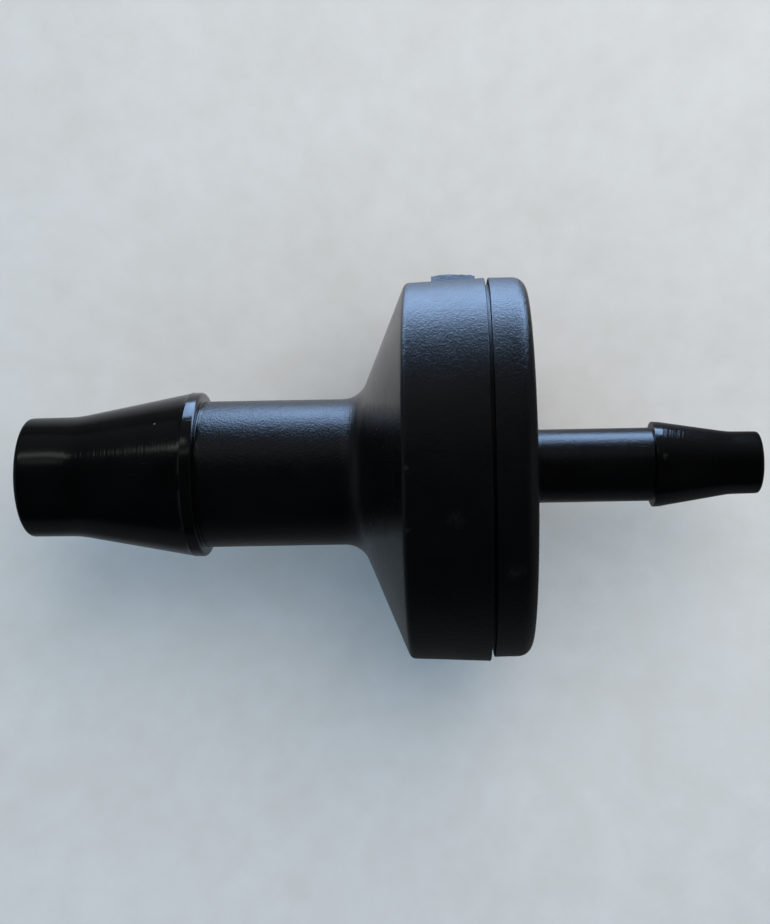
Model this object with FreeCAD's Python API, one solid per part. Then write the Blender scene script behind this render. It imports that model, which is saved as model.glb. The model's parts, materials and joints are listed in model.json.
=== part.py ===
"""In-line drip emitter with a pressure-regulating diaphragm and a no-drain check valve.

Water enters the large hose barb at -X and leaves the small one at +X. The two housing shells are the
inlet body (barb, neck, cone and drum) and the outlet cover (rim, skirt and barb). Between them, from the
inlet on: spring-loaded check poppet with its seal, filter plate, diaphragm, labyrinth disc.

Units are millimetres. X is the flow axis, Z is up as the emitter lies on its side, and the origin is on the
flow axis at the middle of the overall length. Stations named S_... are distances from the inlet end.
"""
import FreeCAD, Part
import math
import os

# Overall
LENGTH = 31.75
AXIS = FreeCAD.Vector(1, 0, 0)
ORIGIN = FreeCAD.Vector(0, 0, 0)

# Inlet barb, for tube of 6.35 mm (1/4 inch) bore
INLET_BORE_R = 1.7
INLET_TIP_R = 2.58
INLET_CREST_R = 3.57
INLET_NECK_R = 3.175
S_INLET_LAND = 2.2
S_INLET_CREST = 7.3
INLET_CREST_LENGTH = 0.45
INLET_TIP_ROUND = 0.22
INLET_CREST_ROUND = 0.16

# Drum and cone of the inlet body
DRUM_R = 8.12
DRUM_DRAFT = 0.16
S_DRUM = 16.51
S_JOINT = 19.9
CONE_SLOPE = 2.4
NECK_FILLET = 1.15
DRUM_CORNER_ROUND = 0.3
CONE_WALL = 1.2

# Inside of the inlet body
VALVE_BORE_R = 2.35
S_VALVE_SEAT = 8.0
CHAMBER_R = 7.0
LEDGE_R = 6.2
S_LEDGE = 17.0
SEAL_STEP_R = 7.55
SEAL_STEP_DEPTH = 0.7

# Mould gate stub on the drum
GATE_LENGTH = 1.85
GATE_WIDTH = 1.2
GATE_HEIGHT = 0.24
S_GATE = 17.67

# Outlet cover
COVER_R = 8.2
JOINT_GROOVE_WIDTH = 0.15
JOINT_GROOVE_DEPTH = 0.3
S_COVER_FACE = 21.67
COVER_ROUND = 0.6
COVER_FLOOR = 1.32
SKIRT_OUTER_R = 6.93
SKIRT_INNER_R = 6.2
S_SKIRT_END = 17.6
SNAP_HEIGHT = 0.19
S_SNAP = 18.5
SNAP_LENGTH = 0.4
SNAP_CLEARANCE = 0.08

# Outlet barb, for tube of 3.2 mm (1/8 inch) bore
OUTLET_BORE_R = 0.85
OUTLET_NECK_R = 1.6
OUTLET_CREST_R = 1.84
OUTLET_TIP_R = 1.35
S_OUTLET_CREST = 27.08
OUTLET_CREST_LENGTH = 0.32
S_OUTLET_LAND = 30.4
OUTLET_FILLET = 0.6
OUTLET_TIP_ROUND = 0.15

# Gasket between the shells
SEAL_GAP = 0.03

# Check poppet and its seal ring
SEAL_RING_R = 1.68
SEAL_CORD_R = 0.4
SEAT_GAP = 0.04
POPPET_LIP_R = 1.5
POPPET_LIP_LENGTH = 0.23
POPPET_HEAD_R = 2.0
POPPET_HEAD_LENGTH = 1.1
POPPET_STEM_R = 0.75
POPPET_STOP_R = 1.05
POPPET_TRAVEL = 1.0
S_POPPET_TAIL = 15.6
POPPET_RIBS = 4
RIB_WIDTH = 0.6
RIB_LENGTH = 2.1
RIB_CLEARANCE = 0.08

# Filter plate, whose hub guides the poppet stem
FILTER_RIM_R = 6.93
FILTER_RIM_INNER_R = 5.75
FILTER_WEB = 0.35
FILTER_HOLE_R = 0.25
FILTER_RINGS = ((3.25, 14), (4.15, 18), (5.05, 22))
HUB_R = 1.75
HUB_BORE_R = 0.83
S_HUB = 14.6
SPRING_SPIGOT_R = 1.1
SPRING_SPIGOT_LENGTH = 0.35
REST_RING_INNER_R = 2.2
REST_RING_OUTER_R = 2.6
REST_RING_HEIGHT = 0.4

# Check spring
SPRING_MEAN_R = 1.36
SPRING_WIRE_R = 0.16
SPRING_TURNS = 6
SPRING_END_GAP = 0.02

# Diaphragm
DIAPHRAGM_R = 6.05
DIAPHRAGM_THICKNESS = 0.8
DIAPHRAGM_ROUND = 0.15

# Labyrinth disc
LABYRINTH_R = 6.12
LABYRINTH_THICKNESS = 1.25
CHANNEL_INNER_R = 3.6
CHANNEL_OUTER_R = 5.5
CHANNEL_DEPTH = 0.55
TEETH = 22
TOOTH_WIDTH = 0.42
TOOTH_GAP = 0.62
REGULATING_R = 2.6
REGULATING_DEPTH = 0.42
NOZZLE_R = 1.05
NOZZLE_BORE_R = 0.45
NOZZLE_STEP = 0.12
NOTCH_WIDTH = 0.7

S_COVER_FLOOR = S_COVER_FACE - COVER_FLOOR
S_LABYRINTH = S_COVER_FLOOR - LABYRINTH_THICKNESS
S_DIAPHRAGM = S_SKIRT_END + REST_RING_HEIGHT + 0.01
S_SEAL_RING = S_VALVE_SEAT + (SEAL_CORD_R + SEAT_GAP) * math.sqrt(2) - (INLET_BORE_R - SEAL_RING_R)
S_POPPET_HEAD = S_SEAL_RING + SEAL_CORD_R + 0.02
S_POPPET_BACK = S_POPPET_HEAD + POPPET_HEAD_LENGTH


def row_x(station):
    """Row-frame x of a distance from the inlet end."""
    return station - LENGTH / 2


def lathe(points):
    """Solid of revolution about the flow axis from a closed outline of (station, radius) points."""
    outline = [FreeCAD.Vector(row_x(s), r, 0) for s, r in points]
    face = Part.Face(Part.makePolygon(outline + outline[:1]))
    return face.revolve(ORIGIN, AXIS, 360)


def ring_edges(solid, station, radius):
    """The circular edges about the flow axis at a station and radius."""
    found = []
    for edge in solid.Edges:
        curve = edge.Curve
        if not isinstance(curve, Part.Circle):
            continue
        here = abs(curve.Center.x - row_x(station)) < 1e-4 and abs(curve.Radius - radius) < 1e-4
        centred = math.hypot(curve.Center.y, curve.Center.z) < 1e-4
        if here and centred:
            found.append(edge)
    return found


def rounded(solid, rings):
    """Fillets ring edges, each given as (station, radius, fillet radius)."""
    for station, radius, fillet in rings:
        solid = solid.makeFillet(fillet, ring_edges(solid, station, radius))
    return solid


def rod(radius, start, end, y=0.0, z=0.0):
    """Cylinder parallel to the flow axis between two stations."""
    return Part.makeCylinder(radius, end - start, FreeCAD.Vector(row_x(start), y, z), AXIS)


def spoke(start, end, inner_r, outer_r, width, angle):
    """Block that reaches radially from inner_r to outer_r at an angle about the flow axis."""
    corner = FreeCAD.Vector(row_x(start), inner_r, -width / 2)
    block = Part.makeBox(end - start, outer_r - inner_r, width, corner)
    block.rotate(ORIGIN, AXIS, angle)
    return block


def inlet_body():
    s_crest_end = S_INLET_CREST + INLET_CREST_LENGTH
    s_neck_corner = S_DRUM - (DRUM_R - INLET_NECK_R) / CONE_SLOPE
    drum_joint_r = DRUM_R + DRUM_DRAFT
    wall_shift = CONE_WALL * math.hypot(1, CONE_SLOPE) / CONE_SLOPE
    s_inner_cone = S_DRUM + wall_shift - (DRUM_R - VALVE_BORE_R) / CONE_SLOPE
    s_seat_end = S_VALVE_SEAT + VALVE_BORE_R - INLET_BORE_R
    s_step = S_JOINT - SEAL_STEP_DEPTH
    groove_r = SKIRT_OUTER_R + SNAP_HEIGHT + SNAP_CLEARANCE
    groove_half = SNAP_LENGTH / 2 + SNAP_CLEARANCE
    flank = groove_r - CHAMBER_R
    outside = [
        (0, INLET_BORE_R),
        (0, INLET_TIP_R),
        (S_INLET_LAND, INLET_TIP_R + 0.03),
        (S_INLET_CREST - 0.1, INLET_CREST_R - 0.1),
        (S_INLET_CREST, INLET_CREST_R),
        (s_crest_end, INLET_CREST_R),
        (s_crest_end + 0.04, INLET_NECK_R),
        (s_neck_corner, INLET_NECK_R),
        (S_DRUM, DRUM_R),
        (S_JOINT, drum_joint_r),
    ]
    inside = [
        (S_JOINT, SEAL_STEP_R),
        (s_step, SEAL_STEP_R),
        (s_step, CHAMBER_R),
        (S_SNAP + groove_half + flank, CHAMBER_R),
        (S_SNAP + groove_half, groove_r),
        (S_SNAP - groove_half, groove_r),
        (S_SNAP - groove_half - flank, CHAMBER_R),
        (S_LEDGE, CHAMBER_R),
        (S_LEDGE, LEDGE_R),
        (s_inner_cone, VALVE_BORE_R),
        (s_seat_end, VALVE_BORE_R),
        (S_VALVE_SEAT, INLET_BORE_R),
    ]
    shell = lathe(outside + inside)
    shell = rounded(
        shell,
        [
            (0, INLET_TIP_R, INLET_TIP_ROUND),
            (s_crest_end, INLET_CREST_R, INLET_CREST_ROUND),
            (s_neck_corner, INLET_NECK_R, NECK_FILLET),
            (S_DRUM, DRUM_R, DRUM_CORNER_ROUND),
        ],
    )
    return shell.fuse(gate_stub())


def gate_stub():
    """Broken-off gate on the drum, rooted inside the drum's wall."""
    root = 0.5
    corner = FreeCAD.Vector(row_x(S_GATE), DRUM_R - root, -GATE_WIDTH / 2)
    stub = Part.makeBox(GATE_LENGTH, root + DRUM_DRAFT + GATE_HEIGHT, GATE_WIDTH, corner)
    top_y = corner.y + root + DRUM_DRAFT + GATE_HEIGHT
    top_edges = [e for e in stub.Edges if abs(e.BoundBox.YMin - top_y) < 1e-4]
    return stub.makeFillet(0.06, top_edges)


def outlet_cover():
    s_crest_start = S_OUTLET_CREST
    s_crest_end = S_OUTLET_CREST + OUTLET_CREST_LENGTH
    flank = SNAP_HEIGHT
    half = SNAP_LENGTH / 2
    cup = [
        (S_COVER_FLOOR, OUTLET_BORE_R),
        (S_COVER_FLOOR, SKIRT_INNER_R),
        (S_SKIRT_END, SKIRT_INNER_R),
        (S_SKIRT_END, SKIRT_OUTER_R),
        (S_SNAP - half, SKIRT_OUTER_R),
        (S_SNAP - half + flank, SKIRT_OUTER_R + flank),
        (S_SNAP + half - flank + 0.02, SKIRT_OUTER_R + flank),
        (S_SNAP + half + 0.02, SKIRT_OUTER_R),
        (S_JOINT, SKIRT_OUTER_R),
        (S_JOINT, COVER_R - JOINT_GROOVE_DEPTH),
        (S_JOINT + JOINT_GROOVE_WIDTH, COVER_R - JOINT_GROOVE_DEPTH),
        (S_JOINT + JOINT_GROOVE_WIDTH, COVER_R),
        (S_COVER_FACE, COVER_R),
        (S_COVER_FACE, OUTLET_NECK_R),
    ]
    barb = [
        (s_crest_start - 0.03, OUTLET_NECK_R),
        (s_crest_start, OUTLET_CREST_R),
        (s_crest_end, OUTLET_CREST_R),
        (S_OUTLET_LAND, OUTLET_TIP_R + 0.02),
        (LENGTH, OUTLET_TIP_R),
        (LENGTH, OUTLET_BORE_R),
    ]
    return rounded(
        lathe(cup + barb),
        [
            (S_COVER_FACE, COVER_R, COVER_ROUND),
            (S_COVER_FACE, OUTLET_NECK_R, OUTLET_FILLET),
            (LENGTH, OUTLET_TIP_R, OUTLET_TIP_ROUND),
        ],
    )


def cover_seal():
    """Flat gasket in the step at the mouth of the inlet body."""
    start = S_JOINT - SEAL_STEP_DEPTH + SEAL_GAP
    end = S_JOINT - SEAL_GAP
    inner = CHAMBER_R + SEAL_GAP
    outer = SEAL_STEP_R - SEAL_GAP
    ring = lathe([(start, inner), (start, outer), (end, outer), (end, inner)])
    return rounded(ring, [(s, r, 0.12) for s in (start, end) for r in (inner, outer)])


def check_poppet():
    """Valve member with ribs that ride in the bore and a shoulder that stops on the filter plate's hub."""
    s_lip = S_SEAL_RING - SEAL_CORD_R - 0.02
    groove_r = SEAL_RING_R - SEAL_CORD_R - 0.02
    s_stop = S_HUB - SPRING_SPIGOT_LENGTH - POPPET_TRAVEL - 0.02
    tail_chamfer = 0.15
    body = lathe(
        [
            (s_lip - POPPET_LIP_LENGTH, 0),
            (s_lip - POPPET_LIP_LENGTH, POPPET_LIP_R - 0.25),
            (s_lip - 0.05, POPPET_LIP_R),
            (s_lip, POPPET_LIP_R),
            (s_lip, groove_r),
            (S_POPPET_HEAD, groove_r),
            (S_POPPET_HEAD, POPPET_HEAD_R),
            (S_POPPET_BACK, POPPET_HEAD_R),
            (S_POPPET_BACK, POPPET_STOP_R),
            (s_stop, POPPET_STOP_R),
            (s_stop, POPPET_STEM_R),
            (S_POPPET_TAIL - tail_chamfer, POPPET_STEM_R),
            (S_POPPET_TAIL, POPPET_STEM_R - tail_chamfer),
            (S_POPPET_TAIL, 0),
        ]
    )
    guide_r = VALVE_BORE_R - RIB_CLEARANCE
    for i in range(POPPET_RIBS):
        angle = 45 + i * 360 / POPPET_RIBS
        rib = spoke(S_POPPET_HEAD, S_POPPET_HEAD + RIB_LENGTH, 1.75, guide_r, RIB_WIDTH, angle)
        body = body.fuse(rib.common(rod(guide_r, S_POPPET_HEAD, S_POPPET_HEAD + RIB_LENGTH)))
    return body.removeSplitter()


def poppet_seal():
    """Seal ring that closes on the 45 degree seat of the inlet body."""
    centre = FreeCAD.Vector(row_x(S_SEAL_RING), 0, 0)
    return Part.makeTorus(SEAL_RING_R, SEAL_CORD_R, centre, AXIS)


def filter_plate():
    s_web = S_SKIRT_END - FILTER_WEB
    plate = lathe(
        [
            (S_HUB - SPRING_SPIGOT_LENGTH, HUB_BORE_R),
            (S_HUB - SPRING_SPIGOT_LENGTH, SPRING_SPIGOT_R),
            (S_HUB, SPRING_SPIGOT_R),
            (S_HUB, HUB_R),
            (s_web, HUB_R),
            (s_web, FILTER_RIM_INNER_R),
            (S_LEDGE, FILTER_RIM_INNER_R),
            (S_LEDGE, FILTER_RIM_R),
            (S_SKIRT_END, FILTER_RIM_R),
            (S_SKIRT_END, REST_RING_OUTER_R),
            (S_SKIRT_END + REST_RING_HEIGHT, REST_RING_OUTER_R),
            (S_SKIRT_END + REST_RING_HEIGHT, REST_RING_INNER_R),
            (S_SKIRT_END, REST_RING_INNER_R),
            (S_SKIRT_END, HUB_BORE_R),
        ]
    )
    holes = []
    for ring_r, count in FILTER_RINGS:
        for i in range(count):
            turn = 2 * math.pi * i / count
            y = ring_r * math.cos(turn)
            z = ring_r * math.sin(turn)
            holes.append(rod(FILTER_HOLE_R, s_web - 0.1, S_SKIRT_END + 0.1, y, z))
    return plate.cut(Part.makeCompound(holes))


def check_spring():
    """Open coil of round wire between the poppet head and the hub of the filter plate."""
    start = S_POPPET_BACK + SPRING_WIRE_R + SPRING_END_GAP
    end = S_HUB - SPRING_WIRE_R - SPRING_END_GAP
    helix = Part.makeHelix((end - start) / SPRING_TURNS, end - start, SPRING_MEAN_R)
    wire_end = FreeCAD.Vector(SPRING_MEAN_R, 0, 0)
    section = Part.Wire(Part.makeCircle(SPRING_WIRE_R, wire_end, FreeCAD.Vector(0, 1, 0)))
    coil = Part.Wire(helix).makePipeShell([section], True, True)
    coil.rotate(ORIGIN, FreeCAD.Vector(0, 1, 0), 90)
    coil.translate(FreeCAD.Vector(row_x(start), 0, 0))
    return coil


def diaphragm():
    end = S_DIAPHRAGM + DIAPHRAGM_THICKNESS
    disc = rod(DIAPHRAGM_R, S_DIAPHRAGM, end)
    return rounded(disc, [(s, DIAPHRAGM_R, DIAPHRAGM_ROUND) for s in (S_DIAPHRAGM, end)])


def labyrinth_disc():
    """Disc whose face to the diaphragm holds the toothed flow path and the regulating nozzle."""
    face = S_LABYRINTH
    disc = rod(LABYRINTH_R, face, S_COVER_FLOOR - 0.02)
    channel_floor = face + CHANNEL_DEPTH
    channel = rod(CHANNEL_OUTER_R, face, channel_floor).cut(rod(CHANNEL_INNER_R, face, channel_floor))
    pitch = 360 / (TEETH + 1)
    reach = CHANNEL_OUTER_R - CHANNEL_INNER_R - TOOTH_GAP
    teeth = [spoke(face, channel_floor, CHANNEL_INNER_R - 0.2, CHANNEL_OUTER_R + 0.2, TOOTH_WIDTH, 0)]
    for i in range(1, TEETH + 1):
        inner = CHANNEL_INNER_R - 0.2 if i % 2 else CHANNEL_OUTER_R - reach
        teeth.append(spoke(face, channel_floor, inner, inner + reach + 0.2, TOOTH_WIDTH, i * pitch))
    channel = channel.cut(Part.makeCompound(teeth))
    regulating = rod(REGULATING_R, face, face + REGULATING_DEPTH)
    regulating = regulating.cut(rod(NOZZLE_R, face + NOZZLE_STEP, face + REGULATING_DEPTH))
    way_in = spoke(face, channel_floor, CHANNEL_OUTER_R - 0.3, LABYRINTH_R + 0.5, NOTCH_WIDTH, pitch / 2)
    way_on = spoke(
        face, face + REGULATING_DEPTH, REGULATING_R - 0.3, CHANNEL_INNER_R + 0.3, NOTCH_WIDTH, -pitch / 2
    )
    nozzle = rod(NOZZLE_BORE_R, face - 1, S_COVER_FLOOR + 1)
    for space in (channel, regulating, way_in, way_on, nozzle):
        disc = disc.cut(space)
    return disc.removeSplitter()


PARTS = (
    inlet_body,
    outlet_cover,
    cover_seal,
    filter_plate,
    labyrinth_disc,
    diaphragm,
    check_poppet,
    poppet_seal,
    check_spring,
)


def main():
    os.makedirs("parts", exist_ok=True)
    for make in PARTS:
        shape = make()
        shape.exportStep(f"parts/{make.__name__}.step")
        box = shape.BoundBox
        print(
            f"{make.__name__}: {shape.ShapeType} valid {shape.isValid()} solids {len(shape.Solids)} "
            f"volume {shape.Volume:.3f} x {box.XMin:.3f}..{box.XMax:.3f} r {box.YMax:.3f}"
        )


main()
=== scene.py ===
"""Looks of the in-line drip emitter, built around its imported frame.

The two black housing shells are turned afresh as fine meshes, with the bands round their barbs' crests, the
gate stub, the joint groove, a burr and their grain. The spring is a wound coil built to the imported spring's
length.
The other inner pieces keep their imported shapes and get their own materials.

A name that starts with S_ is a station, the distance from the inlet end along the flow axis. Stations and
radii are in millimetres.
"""

import json
import math

import bmesh
import bpy
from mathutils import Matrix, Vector, noise


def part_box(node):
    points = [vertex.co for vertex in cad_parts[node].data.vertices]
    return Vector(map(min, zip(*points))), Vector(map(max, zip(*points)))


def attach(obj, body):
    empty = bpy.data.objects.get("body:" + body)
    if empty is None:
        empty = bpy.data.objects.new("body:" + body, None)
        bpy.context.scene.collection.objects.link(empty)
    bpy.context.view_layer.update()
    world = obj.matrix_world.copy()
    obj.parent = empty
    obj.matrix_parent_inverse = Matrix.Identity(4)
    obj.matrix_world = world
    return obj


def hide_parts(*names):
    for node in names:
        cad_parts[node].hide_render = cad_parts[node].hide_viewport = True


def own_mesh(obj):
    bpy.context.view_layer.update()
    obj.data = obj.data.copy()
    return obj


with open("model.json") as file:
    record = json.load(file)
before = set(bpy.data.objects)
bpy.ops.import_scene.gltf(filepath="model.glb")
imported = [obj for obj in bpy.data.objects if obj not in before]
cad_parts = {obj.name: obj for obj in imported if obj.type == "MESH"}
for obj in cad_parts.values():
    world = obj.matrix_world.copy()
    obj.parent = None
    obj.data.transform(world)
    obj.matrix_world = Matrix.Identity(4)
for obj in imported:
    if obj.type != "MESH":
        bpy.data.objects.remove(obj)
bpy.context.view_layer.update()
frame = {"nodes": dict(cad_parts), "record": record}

MM = 0.001
X_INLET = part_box("inlet_body")[0].x / MM
X_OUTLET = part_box("outlet_cover")[1].x / MM
X_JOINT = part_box("inlet_body")[1].x / MM
# The drum is widest at the joint and loses DRUM_DRAFT towards the cone
DRUM_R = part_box("inlet_body")[1].z / MM
COVER_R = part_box("outlet_cover")[1].z / MM
LENGTH = X_OUTLET - X_INLET
S_JOINT = X_JOINT - X_INLET
MOUNTS = {m["name"]: m for m in frame["record"]["mounts"]}

# Fineness of the turned shells: facets round the axis, longest run in mm and largest turn along a fillet
SEGMENTS = 288
RUN_STEP = 0.22
ARC_STEP = math.radians(9)


def mount_r(name):
    """Radius of a round mount in millimetres."""
    return MOUNTS[name]["dims"]["r_mm"]


def station(name):
    """Distance of a mount from the inlet end in millimetres."""
    return MOUNTS[name]["pos_m"][0] / MM - X_INLET


INLET_CREST_R = mount_r("inlet_barb")
OUTLET_CREST_R = mount_r("outlet_barb")
INLET_BORE_R = mount_r("inlet_port")
OUTLET_BORE_R = mount_r("outlet_port")
S_INLET_CREST = station("inlet_barb")
S_OUTLET_CREST = station("outlet_barb")

# Small step at the edge of a barb's band
LIP = 0.02

# Outside of the inlet body
INLET_TIP_R = 2.58
S_INLET_LAND = 2.2
INLET_LAND_R = 2.6
INLET_BAND = 0.5
INLET_BAND_SHIFT = 0.03
INLET_NECK_R = 3.175
S_NECK_GRAIN = (7.75, 7.85)
S_CONE_GRAIN = (14, 14.6)
S_CONE_FOOT = 14.45
S_DRUM = 16.51
DRUM_DRAFT = 0.16
BURR_TURN = math.radians(24)
BURR_SPREAD = 0.012

# Inside of the inlet body, from the joint back to the bore
REBATE_R = 7.55
REBATE_DEPTH = 0.7
CHAMBER_R = 7.0
S_LEDGE = 17.0
INNER_R = 6.2
S_VALVE_MOUTH = 15.4
VALVE_BORE_R = 2.35
S_SEAT_END = 8.65
S_SEAT_START = 8.0

# Gate stub
S_GATE_START = 17.62
S_GATE_END = 19.52
GATE_ROOT = 0.28
GATE_HEIGHT = 0.235
GATE_HALF_WIDTH = 0.62
GATE_TAPER = 0.55

# Outlet cover
S_COVER_FLOOR = 20.35
S_SKIRT_END = 17.6
SKIRT_R = 6.93
S_SNAP_START = 18.3
S_SNAP_END = 18.72
SNAP_HEIGHT = 0.19
GROOVE_WIDTH = 0.15
GROOVE_DEPTH = 0.3
S_COVER_FACE = 21.67
COVER_SHIFT = (0.09, 0)
OUTLET_NECK_R = 1.6
OUTLET_BAND = 0.32
S_OUTLET_LAND = 30.4
OUTLET_LAND_R = 1.37
OUTLET_TIP_R = 1.35


# ---------------------------------------------------------------- mesh tools


def arc(before, corner, after, fillet):
    """Points of a fillet at a corner of an outline."""
    to_a, to_b = (before - corner).normalized(), (after - corner).normalized()
    angle = to_a.angle(to_b)
    reach = fillet / math.tan(angle / 2)
    start, end = corner + to_a * reach, corner + to_b * reach
    centre = corner + (to_a + to_b).normalized() * (fillet / math.sin(angle / 2))
    steps = max(2, math.ceil((math.pi - angle) / ARC_STEP))
    from_a, from_b = start - centre, end - centre
    turn = from_a.angle(from_b)
    points = []
    for i in range(steps + 1):
        t = i / steps
        mix = (from_a * math.sin((1 - t) * turn) + from_b * math.sin(t * turn)) / math.sin(turn)
        points.append(centre + mix)
    return points


def outline(corners):
    """Closed outline of (station, radius) with rounded corners and its long runs cut up."""
    points = []
    count = len(corners)
    for i, (s, r, fillet) in enumerate(corners):
        here = Vector((s, r))
        if fillet:
            before = Vector(corners[i - 1][:2])
            after = Vector(corners[(i + 1) % count][:2])
            points += arc(before, here, after, fillet)
        else:
            points.append(here)
    fine = []
    for i, a in enumerate(points):
        b = points[(i + 1) % len(points)]
        cuts = max(1, math.ceil((b - a).length / RUN_STEP))
        fine += [a.lerp(b, k / cuts) for k in range(cuts)]
    return fine


def place(s, r, turn, off=(0, 0)):
    """Point in metres at a station, a radius and an angle from +Z towards +Y."""
    return Vector((X_INLET + s, r * math.sin(turn) + off[0], r * math.cos(turn) + off[1])) * MM


def turned(bm, points, relief, off=(0, 0)):
    """Turns an outline into a closed shell; relief gives the height in mm added at (s, r, angle)."""
    rings = []
    for s, r in points:
        ring = []
        for k in range(SEGMENTS):
            turn = 2 * math.pi * k / SEGMENTS
            ring.append(bm.verts.new(place(s, r + relief(s, r, turn), turn, off)))
        rings.append(ring)
    for i, ring in enumerate(rings):
        after = rings[(i + 1) % len(rings)]
        for k in range(SEGMENTS):
            m = (k + 1) % SEGMENTS
            bm.faces.new((ring[k], ring[m], after[m], after[k]))


def finished(bm, name, zones=None, sharp=35):
    """Object from a bmesh, smooth, with its surface zones kept as the attribute "grain"."""
    bmesh.ops.recalc_face_normals(bm, faces=bm.faces)
    mesh = bpy.data.meshes.new(name)
    bm.to_mesh(mesh)
    bm.free()
    for face in mesh.polygons:
        face.use_smooth = True
    mesh.set_sharp_from_angle(angle=math.radians(sharp))
    if zones:
        grain = mesh.attributes.new("grain", "FLOAT", "POINT")
        for vertex, value in zip(mesh.vertices, grain.data):
            x, y, z = vertex.co / MM
            value.value = zones(x - X_INLET, math.hypot(y, z))
    made = bpy.data.objects.new(name, mesh)
    bpy.context.scene.collection.objects.link(made)
    return made


def wave(s, turn, pace, seed):
    """Smooth noise, -1 to 1, that closes on itself round the axis."""
    return noise.noise(Vector((s * pace + seed, math.sin(turn) * pace * 2, math.cos(turn) * pace * 2)))


def bump(distance, width):
    """Soft bell of height 1."""
    return math.exp(-((distance / width) ** 2))


def blend(low, high, value):
    """Smooth step from 0 below low to 1 above high."""
    t = min(1, max(0, (value - low) / (high - low)))
    return t * t * (3 - 2 * t)


# ---------------------------------------------------------------- shells


def body_outline():
    """Outside from the inlet's rim to the joint, then the inside back to the bore."""
    band_start = S_INLET_CREST - INLET_BAND / 2 - INLET_BAND_SHIFT
    band_end = band_start + INLET_BAND
    return outline(
        [
            (0, INLET_BORE_R, 0.1),
            (0, INLET_TIP_R, 0.22),
            (S_INLET_LAND, INLET_LAND_R, 4),
            (band_start, INLET_CREST_R - LIP, 0),
            (band_start + LIP, INLET_CREST_R, 0),
            (band_end, INLET_CREST_R, 0.13),
            (band_end + LIP, INLET_NECK_R, 0.04),
            (S_CONE_FOOT, INLET_NECK_R, 1.15),
            (S_DRUM, DRUM_R - DRUM_DRAFT, 0.3),
            (S_JOINT, DRUM_R, 0.05),
            (S_JOINT, REBATE_R, 0.04),
            (S_JOINT - REBATE_DEPTH, REBATE_R, 0.03),
            (S_JOINT - REBATE_DEPTH, CHAMBER_R, 0.05),
            (S_LEDGE, CHAMBER_R, 0.06),
            (S_LEDGE, INNER_R, 0.06),
            (S_VALVE_MOUTH, VALVE_BORE_R, 0.5),
            (S_SEAT_END, VALVE_BORE_R, 0.05),
            (S_SEAT_START, INLET_BORE_R, 0.05),
        ]
    )


def body_relief(s, r, turn):
    """Uneven barb crest, slow waves on the drum, and a rough lip with one burr at the joint."""
    height = 0
    if r > INLET_CREST_R - 0.2 and abs(s - S_INLET_CREST) < 0.3:
        height += 0.015 * wave(s, turn, 1.7, 3)
    if r > DRUM_R - 0.4 and s > S_DRUM:
        height += 0.008 * wave(s, turn, 0.6, 11)
        height += 0.012 * blend(S_JOINT - 0.35, S_JOINT, s) * wave(s, turn, 3, 5)
        height += 0.03 * bump(turn - BURR_TURN, BURR_SPREAD) * blend(S_JOINT - 0.12, S_JOINT, s)
    return height


def body_grain(s, r):
    """Polished barb and bores, spark-textured neck and drum, fine-turned cone."""
    outside = r > INLET_BORE_R + 0.6
    on_cone = blend(*S_CONE_GRAIN, s)
    neck = blend(*S_NECK_GRAIN, s) * (1 - on_cone) * 0.75
    cone = 0.25 * on_cone
    drum = 0.75 * blend(S_DRUM - 0.12, S_DRUM + 0.1, s)
    return (neck + cone + drum) * outside


def gate_stub(bm):
    """Torn stub of the mould gate on the drum, towards +Y, as the first thing in its bmesh."""
    low = Vector((S_GATE_START, DRUM_R - GATE_ROOT, -GATE_HALF_WIDTH))
    high = Vector((S_GATE_END, DRUM_R + GATE_HEIGHT, GATE_HALF_WIDTH))
    bmesh.ops.create_cube(bm, size=1)
    bmesh.ops.subdivide_edges(bm, edges=bm.edges[:], cuts=9, use_grid_fill=True)
    for v in bm.verts:
        u = v.co + Vector((0.5, 0.5, 0.5))
        s, y, z = (low[i] + u[i] * (high[i] - low[i]) for i in range(3))
        crown = 1 - (2 * u.x - 1) ** 4
        ragged = 0.05 * noise.noise(Vector((s * 4, 1, z * 5)))
        y -= u.y * (0.07 * (1 - crown) + 0.03 - ragged)
        z *= 1 - GATE_TAPER * u.y
        v.co = Vector((X_INLET + s, y, z)) * MM


def inlet_body():
    bm = bmesh.new()
    gate_stub(bm)
    turned(bm, body_outline(), body_relief)
    return finished(bm, "inlet_shell", body_grain)


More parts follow.
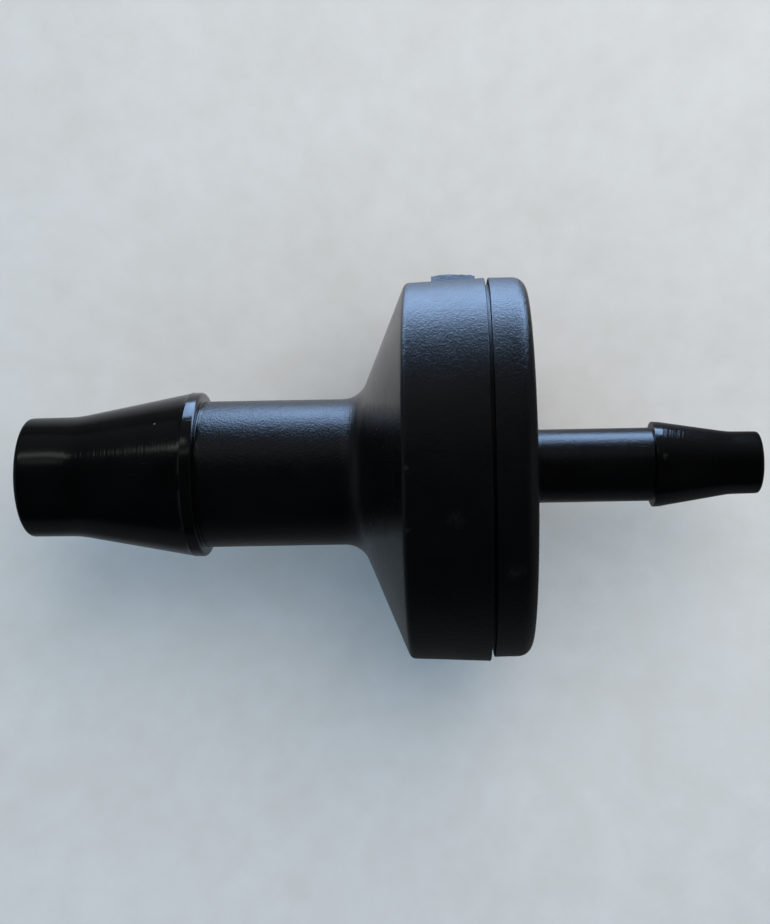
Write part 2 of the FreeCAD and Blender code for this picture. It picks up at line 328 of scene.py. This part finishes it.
def cover_outline():
    """Inside and skirt up to the joint, then the outside from the groove to the outlet's rim."""
    band_start = S_OUTLET_CREST - OUTLET_BAND / 2
    band_end = S_OUTLET_CREST + OUTLET_BAND / 2
    return outline(
        [
            (S_COVER_FLOOR, OUTLET_BORE_R, 0.05),
            (S_COVER_FLOOR, INNER_R, 0.1),
            (S_SKIRT_END, INNER_R, 0.05),
            (S_SKIRT_END, SKIRT_R, 0.12),
            (S_SNAP_START, SKIRT_R, 0),
            (S_SNAP_START + SNAP_HEIGHT, SKIRT_R + SNAP_HEIGHT, 0.03),
            (S_SNAP_END - SNAP_HEIGHT, SKIRT_R + SNAP_HEIGHT, 0),
            (S_SNAP_END, SKIRT_R, 0),
            (S_JOINT, SKIRT_R, 0.05),
            (S_JOINT, COVER_R - GROOVE_DEPTH, 0.02),
            (S_JOINT + GROOVE_WIDTH, COVER_R - GROOVE_DEPTH, 0.02),
            (S_JOINT + GROOVE_WIDTH, COVER_R, 0.05),
            (S_COVER_FACE, COVER_R, 0.6),
            (S_COVER_FACE, OUTLET_NECK_R, 0.6),
            (band_start - 0.05, OUTLET_NECK_R, 0.05),
            (band_start, OUTLET_CREST_R + LIP, 0.05),
            (band_end, OUTLET_CREST_R, 0.12),
            (S_OUTLET_LAND, OUTLET_LAND_R, 3),
            (LENGTH, OUTLET_TIP_R, 0.15),
            (LENGTH, OUTLET_BORE_R, 0.07),
        ]
    )


def cover_relief(s, r, turn):
    """Uneven barb crest, slow waves on the rim and a rougher edge at the groove."""
    height = 0
    if r > OUTLET_CREST_R - 0.06 and abs(s - S_OUTLET_CREST) < 0.25:
        height += 0.014 * wave(s, turn, 1.9, 7)
    if r > COVER_R - 0.5 and s > S_JOINT:
        height += 0.008 * wave(s, turn, 0.6, 19)
        near = blend(S_COVER_FACE - 1.1, S_JOINT + GROOVE_WIDTH, s)
        height += 0.01 * near * wave(s, turn, 3, 23)
    return height


def cover_grain(s, r):
    """Spark-textured rim, smoother face and neck, polished barb and bore."""
    outside = r > OUTLET_BORE_R + 0.3
    past_rim = blend(S_COVER_FACE - 0.5, S_COVER_FACE - 0.1, s)
    rim = 1 - past_rim
    face_and_neck = 0.45 * past_rim
    before_barb = 1 - blend(S_OUTLET_CREST - 0.3, S_OUTLET_CREST - 0.1, s)
    return (rim + face_and_neck) * before_barb * outside


def outlet_cover():
    """The cover sits a hair towards +Y of the body."""
    bm = bmesh.new()
    turned(bm, cover_outline(), cover_relief, off=COVER_SHIFT)
    return finished(bm, "outlet_shell", cover_grain)


# ---------------------------------------------------------------- spring

WIRE_R = 0.16
WIRE_SIDES = 14
COILS = 6.5
STEPS_PER_COIL = 40
CLOSED_PACE = 0.35
END_FLAT = 0.8


def check_spring():
    """Coil with closed, flattened ends between the poppet and the filter plate's hub."""
    low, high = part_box("check_spring")
    mean_r = (high.z - low.z) / 2 / MM - WIRE_R
    start, end = low.x / MM + WIRE_R, high.x / MM - WIRE_R
    steps = int(COILS * STEPS_PER_COIL)
    pace = []
    for i in range(steps):
        t = (i + 0.5) / steps * COILS
        open_share = blend(0.4, 1.1, t) * blend(0.4, 1.1, COILS - t)
        pace.append(CLOSED_PACE + (1 - CLOSED_PACE) * open_share)
    centres = [start]
    for p in pace:
        centres.append(centres[-1] + p * (end - start) / sum(pace))
    bm = bmesh.new()
    rings = []
    for i, x in enumerate(centres):
        turn = 2 * math.pi * i / STEPS_PER_COIL
        ring = []
        for k in range(WIRE_SIDES):
            a = 2 * math.pi * k / WIRE_SIDES
            r = mean_r + WIRE_R * math.cos(a)
            along = x + WIRE_R * math.sin(a)
            along = min(end + WIRE_R * END_FLAT, max(start - WIRE_R * END_FLAT, along))
            ring.append(bm.verts.new(Vector((along, r * math.sin(turn), r * math.cos(turn))) * MM))
        rings.append(ring)
    for a, b in zip(rings, rings[1:]):
        for k in range(WIRE_SIDES):
            m = (k + 1) % WIRE_SIDES
            bm.faces.new((a[k], a[m], b[m], b[k]))
    bm.faces.new(rings[0])
    bm.faces.new(rings[-1])
    return finished(bm, "spring_coil", sharp=50)


# ---------------------------------------------------------------- materials


def feed(tree, socket, value):
    """Links another node's output to a socket, or sets the socket's own value."""
    if isinstance(value, bpy.types.NodeSocket):
        tree.links.new(value, socket)
    else:
        socket.default_value = value


class Shader:
    """A node material whose nodes read the piece's own coordinates in millimetres."""

    def __init__(self, name):
        self.material = bpy.data.materials.new(name)
        self.material.use_nodes = True
        self.tree = self.material.node_tree
        self.surface = self.tree.nodes["Principled BSDF"]
        coordinates = self.tree.nodes.new("ShaderNodeTexCoord")
        self.place = self.vector("MULTIPLY", coordinates.outputs["Object"], (1 / MM,) * 3)

    def node(self, kind, inputs, output=0, **settings):
        made = self.tree.nodes.new(kind)
        for key, value in settings.items():
            setattr(made, key, value)
        for key, value in inputs.items():
            feed(self.tree, made.inputs[key], value)
        return made.outputs[output]

    def math(self, operation, a, b=0.0, clamp=False):
        return self.node("ShaderNodeMath", {0: a, 1: b}, operation=operation, use_clamp=clamp)

    def vector(self, operation, a, b):
        return self.node("ShaderNodeVectorMath", {0: a, 1: b}, operation=operation)

    def noise(self, scale, detail=3.0, stretch=(1, 1, 1), roughness=0.55):
        where = self.vector("MULTIPLY", self.place, stretch)
        inputs = {"Vector": where, "Scale": scale, "Detail": detail, "Roughness": roughness}
        return self.node("ShaderNodeTexNoise", inputs)

    def cells(self, scale):
        return self.node("ShaderNodeTexVoronoi", {"Vector": self.place, "Scale": scale})

    def ramp(self, value, low, high, out_low=0.0, out_high=1.0):
        inputs = {"Value": value, "From Min": low, "From Max": high, "To Min": out_low, "To Max": out_high}
        return self.node("ShaderNodeMapRange", inputs)

    def attribute(self, name):
        return self.node("ShaderNodeAttribute", {}, "Fac", attribute_name=name)

    def distance(self, centre):
        return self.node("ShaderNodeVectorMath", {0: self.place, 1: centre}, "Value", operation="DISTANCE")

    def radius(self):
        flat = self.vector("MULTIPLY", self.place, (0, 1, 1))
        return self.node("ShaderNodeVectorMath", {0: flat}, "Value", operation="LENGTH")

    def mix(self, share, a, b):
        """Mix of two colours; a mix node keeps its colours in inputs 6 and 7 and its result in output 2."""
        return self.node("ShaderNodeMix", {0: share, 6: a, 7: b}, 2, data_type="RGBA")

    def set(self, **values):
        for key, value in values.items():
            feed(self.tree, self.surface.inputs[key.replace("_", " ")], value)

    def bump(self, height, depth_mm, strength=1.0):
        inputs = {"Height": height, "Distance": depth_mm * MM, "Strength": strength}
        self.set(Normal=self.node("ShaderNodeBump", inputs))


def grey(level, tint=(1, 1, 1)):
    """Opaque colour of a level, tinted."""
    return (level * tint[0], level * tint[1], level * tint[2], 1)


# Marks on the black shells: station, angle from +Z towards +Y in degrees, radius, strength
MARKS = (
    (5.99, 40.5, 0.075, 0.8),
    (16.62, 1.2, 0.14, 0.07),
    (16.62, -15.7, 0.15, 0.06),
    (18.5, -13.0, 0.4, 0.011),
    (20.74, -28.5, 0.45, 0.014),
    (27.42, 14.0, 0.16, 0.03),
)


def mark_radius(s):
    """Radius of the shells' outside at a mark's station."""
    if s < S_INLET_CREST:
        slope = (INLET_CREST_R - INLET_LAND_R) / (S_INLET_CREST - S_INLET_LAND)
        return INLET_LAND_R + slope * (s - S_INLET_LAND)
    if s > S_COVER_FACE:
        return OUTLET_CREST_R - 0.01
    return DRUM_R - 0.1


def marks(shader):
    """Mask of the scuffs and specks."""
    broken = shader.ramp(shader.noise(7, 4), 0.42, 0.6)
    ragged = shader.math("SUBTRACT", shader.noise(5, 3), 0.5)
    total = 0.0
    for s, degrees, size, strength in MARKS:
        centre = place(s, mark_radius(s), math.radians(degrees)) / MM
        gap = shader.math("ADD", shader.distance(centre), shader.math("MULTIPLY", ragged, size * 1.6))
        spot = shader.ramp(gap, size, size * 0.2, 0, strength)
        total = shader.math("ADD", spot, total)
    return shader.math("MULTIPLY", total, shader.math("ADD", broken, 0.25), clamp=True)


def black_plastic(name):
    """Black moulded acetal: spark-eroded grain where "grain" is high, polished where it is low."""
    shader = Shader(name)
    grain = shader.attribute("grain")
    coarse = shader.noise(3.6, 2)
    fine = shader.noise(11, 3)
    spark = shader.math("ADD", shader.math("MULTIPLY", coarse, 0.6), fine)
    scratch = shader.ramp(shader.noise(3, 2, (0.25, 3, 3)), 0.68, 0.76)
    dust = shader.ramp(shader.cells(2.3), 0.045, 0.02)
    spots = marks(shader)
    wear = shader.math("ADD", shader.math("MULTIPLY", dust, 0.06), spots, clamp=True)
    haze = shader.ramp(shader.noise(0.5, 2), 0.35, 0.7)
    base = shader.mix(haze, grey(0.001, (1, 1.02, 1.2)), grey(0.0018, (1, 1, 1.1)))
    shader.set(Base_Color=shader.mix(wear, base, grey(0.42, (1, 0.99, 0.94))))
    rough = shader.ramp(grain, 0, 1, 0.15, 0.37)
    rough = shader.math("ADD", rough, shader.math("MULTIPLY", haze, 0.04))
    rough = shader.math("ADD", rough, shader.math("MULTIPLY", scratch, 0.1))
    shader.set(Roughness=shader.math("ADD", rough, shader.math("MULTIPLY", wear, 0.3)))
    rings = {"W": shader.math("MULTIPLY", shader.radius(), 9)}
    turned_marks = shader.node("ShaderNodeTexNoise", rings, noise_dimensions="1D")
    height = shader.math("MULTIPLY", spark, shader.math("ADD", grain, 0.06))
    height = shader.math("ADD", height, shader.math("MULTIPLY", turned_marks, 0.25))
    height = shader.math("SUBTRACT", height, shader.math("MULTIPLY", scratch, 0.1))
    shader.set(IOR=1.48)
    shader.bump(height, 0.023)
    return shader.material


def rubber(name, level, tint):
    """Moulded rubber: fine matt surface with a few paler specks."""
    shader = Shader(name)
    specks = shader.ramp(shader.cells(3), 0.06, 0.03)
    cloud = shader.ramp(shader.noise(1.3, 3), 0.35, 0.65)
    base = shader.mix(cloud, grey(level, tint), grey(level * 1.3, tint))
    shader.set(Base_Color=shader.mix(shader.math("MULTIPLY", specks, 0.4), base, grey(level * 2.2, tint)))
    shader.set(Roughness=shader.ramp(cloud, 0, 1, 0.48, 0.62))
    shader.bump(shader.noise(14, 3), 0.008)
    return shader.material


def silicone(name):
    """Milky silicone with faint clouds and dust."""
    shader = Shader(name)
    cloud = shader.ramp(shader.noise(0.8, 3), 0.3, 0.7)
    dust = shader.ramp(shader.cells(2), 0.06, 0.03)
    base = shader.mix(cloud, grey(0.5, (1, 0.97, 0.9)), grey(0.62, (1, 0.98, 0.93)))
    shader.set(Base_Color=shader.mix(shader.math("MULTIPLY", dust, 0.5), base, grey(0.2)))
    shader.set(Roughness=shader.ramp(cloud, 0, 1, 0.3, 0.42))
    shader.set(Subsurface_Weight=0.5, Subsurface_Scale=0.0008, IOR=1.41)
    shader.bump(shader.noise(9, 2), 0.006)
    return shader.material


def moulded(name, level, tint, sub=0.15):
    """Natural or tinted acetal: flow lines, slight gloss change and a fine grain."""
    shader = Shader(name)
    flow = shader.ramp(shader.noise(0.9, 4, (0.6, 1, 1)), 0.35, 0.65)
    base = shader.mix(flow, grey(level, tint), grey(level * 0.88, tint))
    shader.set(Base_Color=base, Roughness=shader.ramp(flow, 0, 1, 0.3, 0.42))
    shader.set(Subsurface_Weight=sub, Subsurface_Scale=0.0006)
    shader.bump(shader.math("ADD", shader.noise(12, 3), shader.math("MULTIPLY", flow, 0.6)), 0.007)
    return shader.material


def spring_steel(name):
    """Drawn stainless wire with fine lengthwise lines and a faint straw tint."""
    shader = Shader(name)
    lines = shader.noise(16, 3, (3, 0.6, 0.6))
    tint = shader.ramp(shader.noise(1.5, 2), 0.35, 0.7)
    shader.set(Base_Color=shader.mix(tint, grey(0.6, (1, 1, 1.01)), grey(0.52, (1.05, 1, 0.9))))
    shader.set(Metallic=1.0, Roughness=shader.ramp(lines, 0.3, 0.7, 0.2, 0.38))
    shader.bump(lines, 0.004)
    return shader.material


def dress(made, material):
    """Gives a piece its only material."""
    made.data.materials.clear()
    made.data.materials.append(material)


def dress_node(name, material):
    """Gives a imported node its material."""
    node = frame["nodes"][name]
    for item in node.material_slots:
        item.link = "OBJECT"
        item.material = material


# ---------------------------------------------------------------- stage


def floor_material():
    """Pale matt sheet with a faint mottle."""
    shader = Shader("pale_sheet")
    broad = shader.noise(0.22, 3)
    small = shader.noise(0.9, 3)
    both = shader.math("ADD", shader.math("MULTIPLY", broad, 0.6), shader.math("MULTIPLY", small, 0.4))
    shade = shader.ramp(both, 0.35, 0.65)
    shader.set(Base_Color=shader.mix(shade, grey(0.77, (1, 1, 0.985)), grey(0.83, (0.99, 1, 1.01))))
    shader.set(Roughness=0.85, Specular_IOR_Level=0.0)
    shader.bump(small, 0.05, 0.4)
    dim_in_gloss(shader)
    return shader.material


def dim_in_gloss(shader):
    """Dims the sheet in gloss, more so with distance from the cone's bright side; other rays see it whole."""
    beside_cone = (-5, 7, -DRUM_R)
    away = shader.ramp(shader.distance(beside_cone), 3, 24, 0, 0.88)
    share = shader.math("MULTIPLY", away, shader.node("ShaderNodeLightPath", {}, "Is Glossy Ray"))
    dark = shader.node("ShaderNodeEmission", {"Strength": 0.0})
    both = shader.node("ShaderNodeMixShader", {0: share, 1: shader.surface.outputs[0], 2: dark})
    shader.tree.links.new(both, shader.tree.nodes["Material Output"].inputs["Surface"])


def add_floor():
    """Square sheet, 2.4 m wide, that the drum rests on."""
    half = 1.2
    z = -DRUM_R * MM
    corners = [(-half, -half, z), (half, -half, z), (half, half, z), (-half, half, z)]
    mesh = bpy.data.meshes.new("floor")
    mesh.from_pydata(corners, [], [(0, 1, 2, 3)])
    floor = bpy.data.objects.new("floor", mesh)
    bpy.context.scene.collection.objects.link(floor)
    dress(floor, floor_material())


def area_light(name, centre, aim, size, radiance, colour, glossy, diffuse):
    """Rectangular light of a given radiance, in view of glossy or diffuse rays or both."""
    data = bpy.data.lights.new(name, "AREA")
    data.shape = "RECTANGLE"
    data.size, data.size_y = size[0] * MM, size[1] * MM
    data.energy = radiance * math.pi * data.size * data.size_y
    data.color = colour
    light = bpy.data.objects.new(name, data)
    light.location = Vector(centre) * MM
    direction = Vector(aim) - Vector(centre)
    light.rotation_euler = direction.to_track_quat("-Z", "Y").to_euler()
    light.visible_camera = False
    light.visible_glossy = glossy
    light.visible_diffuse = diffuse
    light.visible_transmission = False
    bpy.context.scene.collection.objects.link(light)


def add_lights():
    area_light("key", (34, 58, 100), (0, 0, -8), (110, 110), 2.6, (1, 0.86, 0.72), False, True)
    area_light("window", (2.5, 20, -2.4), (2.5, 0, -2.4), (31, 11.2), 9.8, (0.4, 0.61, 0.98), True, False)
    area_light("gap", (-8, 34, 49), (0, 0, 0), (60, 7), 0.3, (1, 1, 1), True, False)
    area_light("glint", (-35, 44, 46), (-12, 0, 2), (26, 7), 1.3, (1, 1, 1), True, False)


def add_world():
    """Bluish sky for matt surfaces, a dim room for gloss that pales towards +Y and the ends, a pale wall."""
    world = bpy.data.worlds.new("room")
    world.use_nodes = True
    bpy.context.scene.world = world
    tree = world.node_tree
    tree.nodes.clear()

    def node(kind, *inputs, **settings):
        made = tree.nodes.new(kind)
        for key, value in settings.items():
            setattr(made, key, value)
        for socket, value in zip(made.inputs, inputs):
            feed(tree, socket, value)
        return made.outputs

    def maths(operation, a, b=0.0):
        return node("ShaderNodeMath", a, b, operation=operation)[0]

    direction = node("ShaderNodeSeparateXYZ", node("ShaderNodeTexCoord")["Generated"])
    side = maths("MULTIPLY", maths("POWER", maths("MAXIMUM", direction["Y"], 0.0), 2.0), 0.16)
    ends = node("ShaderNodeMapRange", maths("ABSOLUTE", direction["X"]), 0.7, 1.0, 0.0, 0.2)[0]
    level = maths("ADD", maths("ADD", side, ends), 0.006)

    path = node("ShaderNodeLightPath")
    sky = node("ShaderNodeBackground", (0.33, 0.44, 0.54, 1))[0]
    gloss = node("ShaderNodeBackground", (0.92, 0.97, 1, 1), level)[0]
    wall = node("ShaderNodeBackground", (0.55, 0.57, 0.59, 1))[0]
    first = node("ShaderNodeMixShader", path["Is Glossy Ray"], sky, gloss)[0]
    second = node("ShaderNodeMixShader", path["Is Camera Ray"], first, wall)[0]
    node("ShaderNodeOutputWorld", second)


def add_camera():
    """Straight above the drum, under 6 cm from the axis, turned so that the outlet points slightly up."""
    picture_height = 924
    distance = 56.8
    mm_per_pixel = 0.0437
    data = bpy.data.cameras.new("camera")
    data.sensor_width = 36
    data.lens = data.sensor_width * distance / mm_per_pixel / picture_height
    data.shift_x = -0.0703
    data.clip_start, data.clip_end = 0.005, 10
    camera = bpy.data.objects.new("camera", data)
    camera.location = Vector((2.425, 0.345, distance)) * MM
    camera.rotation_euler = (0, 0, -math.radians(1.05))
    bpy.context.scene.collection.objects.link(camera)
    bpy.context.scene.camera = camera


# ---------------------------------------------------------------- the object


def build():
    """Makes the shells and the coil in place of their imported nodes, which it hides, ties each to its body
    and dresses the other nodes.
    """
    body = inlet_body()
    dress(body, black_plastic("black_body"))
    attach(body, "housing")
    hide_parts("inlet_body")

    cover = outlet_cover()
    dress(cover, black_plastic("black_cover"))
    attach(cover, "housing")
    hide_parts("outlet_cover")

    coil = check_spring()
    dress(coil, spring_steel("spring_wire"))
    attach(coil, "housing")
    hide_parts("check_spring")
    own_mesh(coil)

    nitrile = rubber("nitrile", 0.022, (1, 1, 1))
    dress_node("cover_seal", nitrile)
    dress_node("poppet_seal", nitrile)
    dress_node("diaphragm", silicone("silicone"))
    dress_node("filter_plate", moulded("filter_acetal", 0.72, (1, 0.98, 0.93)))
    dress_node("check_poppet", moulded("poppet_acetal", 0.78, (1, 0.985, 0.95)))
    dress_node("labyrinth_disc", moulded("labyrinth_acetal", 0.3, (0.35, 0.6, 1.0)))


build()
add_floor()
add_lights()
add_world()
add_camera()
bpy.context.scene.view_settings.view_transform = "Standard"
